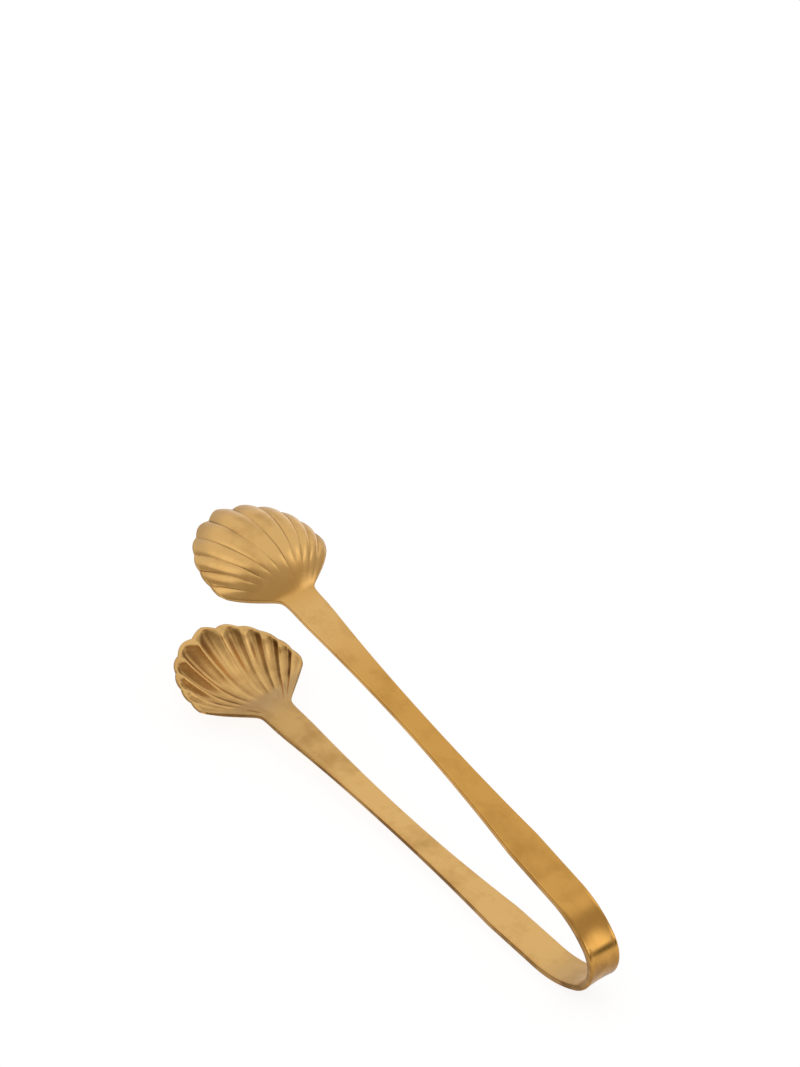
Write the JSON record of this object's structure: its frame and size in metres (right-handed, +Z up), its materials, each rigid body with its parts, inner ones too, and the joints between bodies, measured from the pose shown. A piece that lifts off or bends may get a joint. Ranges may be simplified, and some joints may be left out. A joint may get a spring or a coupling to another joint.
{
  "type": "serving tongs",
  "caption": "Spring tongs of bent brass strip: a springy bow joins flat waisted arms, each ending in a fluted scallop-shell bowl that lifts ice, sugar or fruit.",
  "frame": {"origin": "centre of the box round the tongs, on the table that they lie on", "axes": "+Z up from the table, +X from the shells to the bow, +Y across the arms"},
  "size_m": [0.167, 0.037, 0.0596],
  "materials": {
    "brass": "satin, finely brushed, with a light tarnish"
  },
  "bodies": {
    "bow": {"spring_bow": "brass"},
    "upper_half": {"upper_arm": "brass", "upper_shell": "brass"},
    "lower_half": {"lower_arm": "brass", "lower_shell": "brass"}
  },
  "joints": [
    {"name": "upper_squeeze", "type": "hinge", "parent": "bow", "child": "upper_half", "pos_m": [0.0727, 0, 0.01321], "axis": [0, -1, 0], "range_deg": [0, 8.6], "stiffness_Nm_per_rad": 10},
    {"name": "lower_squeeze", "type": "hinge", "parent": "bow", "child": "lower_half", "pos_m": [0.0727, 0, 0.01321], "axis": [0, 1, 0], "range_deg": [0, 8.6], "stiffness_Nm_per_rad": 10}
  ],
  "couplings": [
    {"joint": "lower_squeeze", "follows": "upper_squeeze", "ratio": 1}
  ]
}
